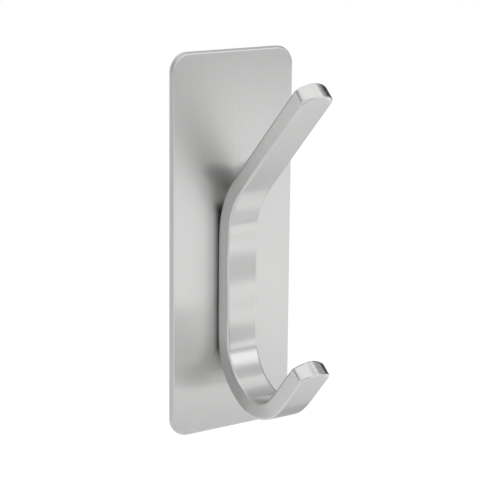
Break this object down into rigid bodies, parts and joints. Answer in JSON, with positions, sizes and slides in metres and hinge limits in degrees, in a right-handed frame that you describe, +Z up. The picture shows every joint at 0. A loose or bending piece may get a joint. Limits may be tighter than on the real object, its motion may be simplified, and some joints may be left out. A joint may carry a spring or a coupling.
{
  "type": "adhesive wall hook",
  "caption": "Adhesive wall hook in satin steel: a flat bar bent into a long upper prong and a short lower hook, welded to a thin plate with a foam pad behind it.",
  "frame": {"origin": "centre of the pad's rear face, the one that sticks to the wall", "axes": "+Z up along the plate, +Y into the wall, -Y out of the wall along the prongs, +X to the right seen from the front"},
  "size_m": [0.03, 0.0316, 0.08],
  "materials": {
    "plate_steel": "satin, with a fine vertical grain",
    "bar_steel": "satin, with a fine grain along the bar",
    "weld_metal": "rough, as welded and ground flush",
    "foam": "matt closed-cell foam",
    "adhesive": "tacky, slightly glossy film"
  },
  "bodies": {
    "root": {"back_plate": "plate_steel", "hook_bar": "bar_steel", "upper_weld": "weld_metal", "lower_weld": "weld_metal", "foam_core": "foam", "plate_side_adhesive": "adhesive", "wall_side_adhesive": "adhesive"}
  },
  "joints": []
}
